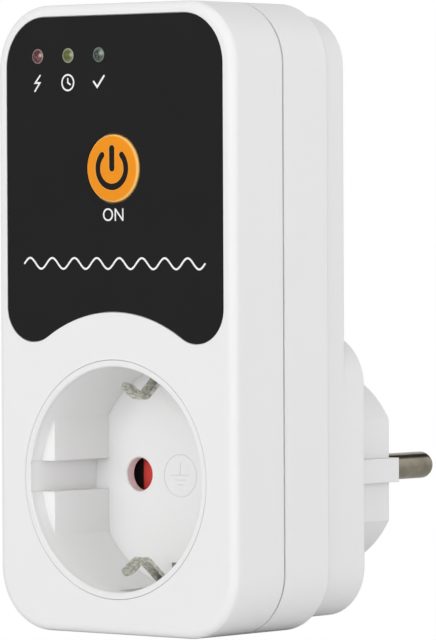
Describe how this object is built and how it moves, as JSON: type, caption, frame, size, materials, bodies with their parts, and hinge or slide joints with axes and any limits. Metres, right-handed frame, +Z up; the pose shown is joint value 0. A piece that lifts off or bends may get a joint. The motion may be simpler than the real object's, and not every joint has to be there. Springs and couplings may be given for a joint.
{
  "type": "plug-in voltage protector",
  "caption": "Plug-in voltage protector for one appliance: earthed plug behind, earthed shuttered socket in front, black panel with indicator lights and a start button, relay board inside.",
  "frame": {"origin": "middle of the plug's end face, on the common axis of the plug and the socket, where the part seats in a wall socket", "axes": "+X to the right seen from the front, +Y from the front to the back, the way the plug's pins point, +Z up towards the panel with the lights"},
  "size_m": [0.054, 0.0757, 0.109],
  "materials": {
    "white_plastic": "smooth white moulding, satin to gloss",
    "label_film": "black satin film",
    "button_plastic": "orange gloss moulding",
    "lens_red": "tinted clear lens",
    "lens_yellow": "tinted clear lens",
    "lens_green": "tinted clear lens",
    "shutter_plastic": "red moulding",
    "inner_plastic": "black heat-resistant moulding",
    "spring_steel": "bright spring wire",
    "clip_metal": "nickel-plated strip",
    "pin_metal": "nickel-plated round bar, satin",
    "contact_brass": "bare brass strip",
    "board_laminate": "green lacquered laminate",
    "black_plastic": "black moulding",
    "relay_plastic": "blue moulding",
    "coil_copper": "enamelled copper winding",
    "relay_iron": "plated soft iron",
    "varistor_coating": "blue dipped coating",
    "film_plastic": "yellow moulding",
    "can_sleeve": "dark sleeve on an aluminium can",
    "resistor_body": "tan lacquer",
    "wire_brown": "brown insulation",
    "wire_blue": "blue insulation",
    "screw_steel": "zinc-plated"
  },
  "bodies": {
    "housing": {"front_cover": "white_plastic", "rear_housing": "white_plastic", "label_panel": "label_film", "led_red": "lens_red", "led_yellow": "lens_yellow", "led_green": "lens_green", "socket_cup": "white_plastic", "shutter_spring": "spring_steel", "contact_carrier": "inner_plastic", "line_contact": "contact_brass", "neutral_contact": "contact_brass", "earth_bracket": "clip_metal", "plug_pin_line": "pin_metal", "plug_pin_neutral": "pin_metal", "plug_earth_top": "clip_metal", "plug_earth_bottom": "clip_metal", "circuit_board": "board_laminate", "tact_switch": "black_plastic", "relay_base": "relay_plastic", "relay_case": "relay_plastic", "relay_coil": "coil_copper", "relay_yoke": "relay_iron", "relay_contacts": "contact_brass", "varistor": "varistor_coating", "film_capacitor": "film_plastic", "electrolytic_capacitor": "can_sleeve", "control_chip": "black_plastic", "rectifier_diodes": "black_plastic", "dropper_resistor": "resistor_body", "line_in_wire": "wire_brown", "line_out_wire": "wire_brown", "neutral_wire": "wire_blue", "neutral_tap_wire": "wire_blue", "housing_screws": "screw_steel", "board_screws": "screw_steel", "carrier_screws": "screw_steel"},
    "button": {"start_button": "button_plastic", "switch_plunger": "black_plastic"},
    "shutter": {"shutter": "shutter_plastic"},
    "armature": {"relay_armature": "relay_iron"}
  },
  "joints": [
    {"name": "button_press", "type": "slide", "parent": "housing", "child": "button", "axis": [0, 1, 0], "range_m": [0, 0.0005], "stiffness_N_per_m": 800, "springref_m": -0.0002},
    {"name": "shutter_slide", "type": "slide", "parent": "housing", "child": "shutter", "axis": [1, 0, 0], "range_m": [0, 0.0051], "stiffness_N_per_m": 60, "springref_m": -0.003, "deforming": ["shutter_spring"]},
    {"name": "armature_swing", "type": "hinge", "parent": "housing", "child": "armature", "pos_m": [-0.0013, -0.0321, 0.0422], "axis": [0, 0, 1], "range_deg": [-3.5, 0], "stiffness_Nm_per_rad": 0.01, "springref_deg": 2.86}
  ]
}
